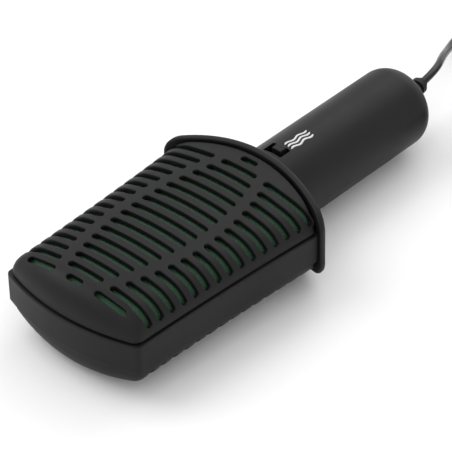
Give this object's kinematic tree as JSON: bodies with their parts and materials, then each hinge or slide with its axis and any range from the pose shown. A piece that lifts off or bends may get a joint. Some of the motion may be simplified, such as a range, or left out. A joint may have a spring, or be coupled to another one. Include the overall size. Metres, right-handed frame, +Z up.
{
  "type": "boot dryer",
  "caption": "Hand-sized electric boot dryer: a slotted, domed drying head on a round handle with a slide switch and a mains cord.",
  "frame": {"origin": "on the resting surface, under the middle of the dryer without its cord", "axes": "+X from the toe to the end of the handle, +Z up, +Y to the left seen from the toe"},
  "size_m": [0.3018, 0.0956, 0.0403],
  "materials": {
    "moulded_black": "fine satin texture",
    "handle_black": "fine matt texture",
    "green_weave": "woven",
    "switch_black": "satin",
    "steel": "zinc plated",
    "steel_black": "black oxide",
    "brass": "rolled",
    "inner_black": "moulded",
    "aluminium": "extruded",
    "amber_film": "film",
    "ceramic": "fired",
    "fuse_white": "glazed",
    "mica": "pressed sheet",
    "lead_brown": "extruded",
    "lead_blue": "extruded",
    "cord_black": "extruded, glossy",
    "relief_rubber": "moulded, satin",
    "tie_black": "moulded",
    "plug_black": "moulded",
    "plated_pin": "nickel plated"
  },
  "bodies": {
    "dryer": {"top_grille": "moulded_black", "bottom_grille": "moulded_black", "head_frame": "moulded_black", "handle_shell": "handle_black", "top_lining": "green_weave", "bottom_lining": "green_weave", "switch_body": "switch_black", "switch_base": "switch_black", "switch_bracket": "steel", "switch_terminals": "brass", "chassis": "inner_black", "cord_clamp": "inner_black", "clamp_screws": "steel", "switch_screws": "steel", "bracket_screws": "steel", "handle_screws": "steel_black", "heater_brackets": "inner_black", "ptc_case": "aluminium", "top_fins": "aluminium", "bottom_fins": "aluminium", "ptc_film": "amber_film", "ptc_stones": "ceramic", "contact_plates": "brass", "thermostat": "inner_black", "thermal_fuse": "fuse_white", "fuse_clip": "steel", "heat_shield": "mica", "live_lead": "lead_brown", "switched_lead": "lead_brown", "neutral_lead": "lead_blue", "cord_stub": "cord_black", "strain_relief": "relief_rubber", "power_cord": "cord_black", "cord_coil": "cord_black", "cord_tail": "cord_black", "coil_tie": "tie_black", "plug_body": "plug_black", "plug_pins": "plated_pin", "pin_sleeves": "plug_black"},
    "knob": {"switch_knob": "moulded_black", "switch_contact": "brass"}
  },
  "joints": [
    {"name": "switch_slide", "type": "slide", "parent": "dryer", "child": "knob", "axis": [0, 1, 0], "range_m": [0, 0.0024]}
  ]
}
